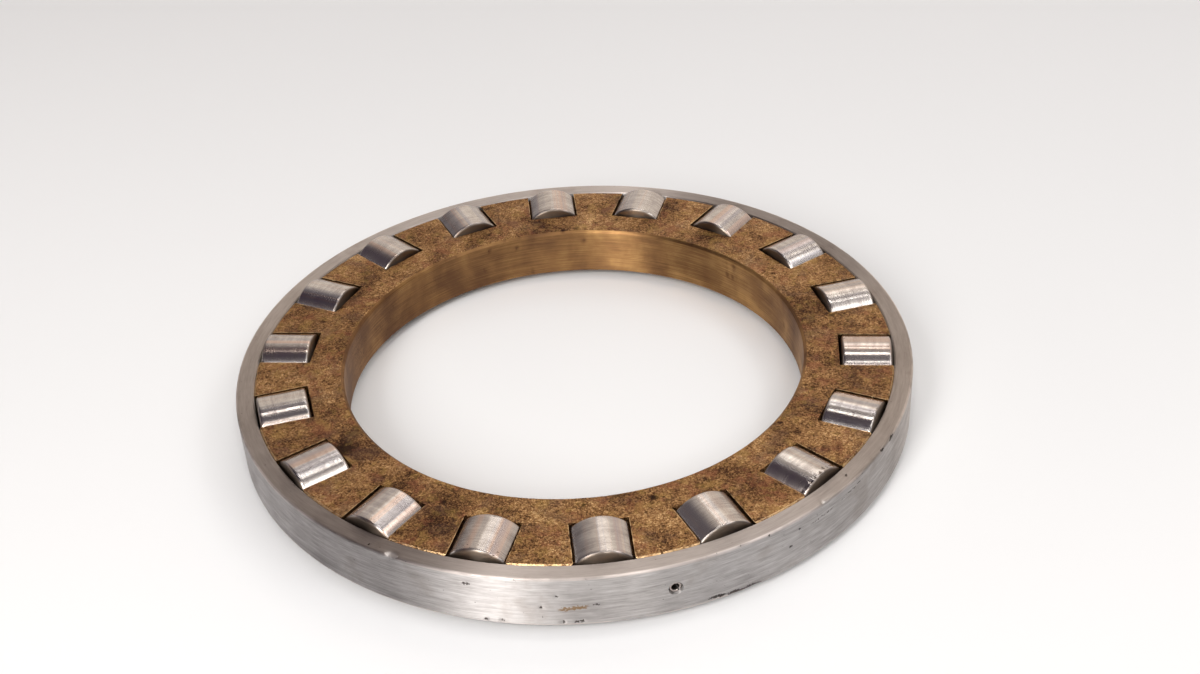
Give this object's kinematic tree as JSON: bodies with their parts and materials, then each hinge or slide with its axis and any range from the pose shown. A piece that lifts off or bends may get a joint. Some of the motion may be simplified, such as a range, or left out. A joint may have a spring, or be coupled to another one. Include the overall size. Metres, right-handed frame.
{
  "type": "thrust cylindrical roller bearing",
  "caption": "Thrust roller and cage assembly: a brass cage ring whose open-ended radial pockets hold short steel rollers, closed by a pinned steel outer band.",
  "frame": {"origin": "centre of the bearing, on its axis and on the middle plane of the cage", "axes": "+Z along the bearing's axis; +X along the length of roller_01"},
  "size_m": [0.1206, 0.1206, 0.0128],
  "materials": {
    "cage_brass": "machined brass with an aged, mottled brown patina",
    "band_steel": "ground steel, brushed round the rim, with light wear and a few stains",
    "roller_steel": "hardened steel, ground and polished, with faint marks round it",
    "pin_steel": "dark spring steel"
  },
  "bodies": {
    "cage_assembly": {"cage": "cage_brass", "retaining_band": "band_steel", "lock_pin_1": "pin_steel", "lock_pin_2": "pin_steel", "lock_pin_3": "pin_steel"},
    "roller_01": {"roller_01": "roller_steel"},
    "roller_02": {"roller_02": "roller_steel"},
    "roller_03": {"roller_03": "roller_steel"},
    "roller_04": {"roller_04": "roller_steel"},
    "roller_05": {"roller_05": "roller_steel"},
    "roller_06": {"roller_06": "roller_steel"},
    "roller_07": {"roller_07": "roller_steel"},
    "roller_08": {"roller_08": "roller_steel"},
    "roller_09": {"roller_09": "roller_steel"},
    "roller_10": {"roller_10": "roller_steel"},
    "roller_11": {"roller_11": "roller_steel"},
    "roller_12": {"roller_12": "roller_steel"},
    "roller_13": {"roller_13": "roller_steel"},
    "roller_14": {"roller_14": "roller_steel"},
    "roller_15": {"roller_15": "roller_steel"},
    "roller_16": {"roller_16": "roller_steel"},
    "roller_17": {"roller_17": "roller_steel"},
    "roller_18": {"roller_18": "roller_steel"}
  },
  "joints": [
    {"name": "roller_01_spin", "type": "hinge", "parent": "cage_assembly", "child": "roller_01", "pos_m": [0.05233, 0, 0], "axis": [1, 0, 0], "continuous": true},
    {"name": "roller_02_spin", "type": "hinge", "parent": "cage_assembly", "child": "roller_02", "pos_m": [0.04917, 0.0179, 0], "axis": [0.9397, 0.342, 0], "continuous": true},
    {"name": "roller_03_spin", "type": "hinge", "parent": "cage_assembly", "child": "roller_03", "pos_m": [0.04008, 0.03363, 0], "axis": [0.766, 0.6428, 0], "continuous": true},
    {"name": "roller_04_spin", "type": "hinge", "parent": "cage_assembly", "child": "roller_04", "pos_m": [0.02616, 0.04531, 0], "axis": [0.5, 0.866, 0], "continuous": true},
    {"name": "roller_05_spin", "type": "hinge", "parent": "cage_assembly", "child": "roller_05", "pos_m": [0.00909, 0.05153, 0], "axis": [0.1736, 0.9848, 0], "continuous": true},
    {"name": "roller_06_spin", "type": "hinge", "parent": "cage_assembly", "child": "roller_06", "pos_m": [-0.00909, 0.05153, 0], "axis": [-0.1736, 0.9848, 0], "continuous": true},
    {"name": "roller_07_spin", "type": "hinge", "parent": "cage_assembly", "child": "roller_07", "pos_m": [-0.02616, 0.04531, 0], "axis": [-0.5, 0.866, 0], "continuous": true},
    {"name": "roller_08_spin", "type": "hinge", "parent": "cage_assembly", "child": "roller_08", "pos_m": [-0.04008, 0.03363, 0], "axis": [-0.766, 0.6428, 0], "continuous": true},
    {"name": "roller_09_spin", "type": "hinge", "parent": "cage_assembly", "child": "roller_09", "pos_m": [-0.04917, 0.0179, 0], "axis": [-0.9397, 0.342, 0], "continuous": true},
    {"name": "roller_10_spin", "type": "hinge", "parent": "cage_assembly", "child": "roller_10", "pos_m": [-0.05233, 0, 0], "axis": [-1, 0, 0], "continuous": true},
    {"name": "roller_11_spin", "type": "hinge", "parent": "cage_assembly", "child": "roller_11", "pos_m": [-0.04917, -0.0179, 0], "axis": [-0.9397, -0.342, 0], "continuous": true},
    {"name": "roller_12_spin", "type": "hinge", "parent": "cage_assembly", "child": "roller_12", "pos_m": [-0.04008, -0.03363, 0], "axis": [-0.766, -0.6428, 0], "continuous": true},
    {"name": "roller_13_spin", "type": "hinge", "parent": "cage_assembly", "child": "roller_13", "pos_m": [-0.02616, -0.04531, 0], "axis": [-0.5, -0.866, 0], "continuous": true},
    {"name": "roller_14_spin", "type": "hinge", "parent": "cage_assembly", "child": "roller_14", "pos_m": [-0.00909, -0.05153, 0], "axis": [-0.1736, -0.9848, 0], "continuous": true},
    {"name": "roller_15_spin", "type": "hinge", "parent": "cage_assembly", "child": "roller_15", "pos_m": [0.00909, -0.05153, 0], "axis": [0.1736, -0.9848, 0], "continuous": true},
    {"name": "roller_16_spin", "type": "hinge", "parent": "cage_assembly", "child": "roller_16", "pos_m": [0.02616, -0.04531, 0], "axis": [0.5, -0.866, 0], "continuous": true},
    {"name": "roller_17_spin", "type": "hinge", "parent": "cage_assembly", "child": "roller_17", "pos_m": [0.04008, -0.03363, 0], "axis": [0.766, -0.6428, 0], "continuous": true},
    {"name": "roller_18_spin", "type": "hinge", "parent": "cage_assembly", "child": "roller_18", "pos_m": [0.04917, -0.0179, 0], "axis": [0.9397, -0.342, 0], "continuous": true}
  ]
}
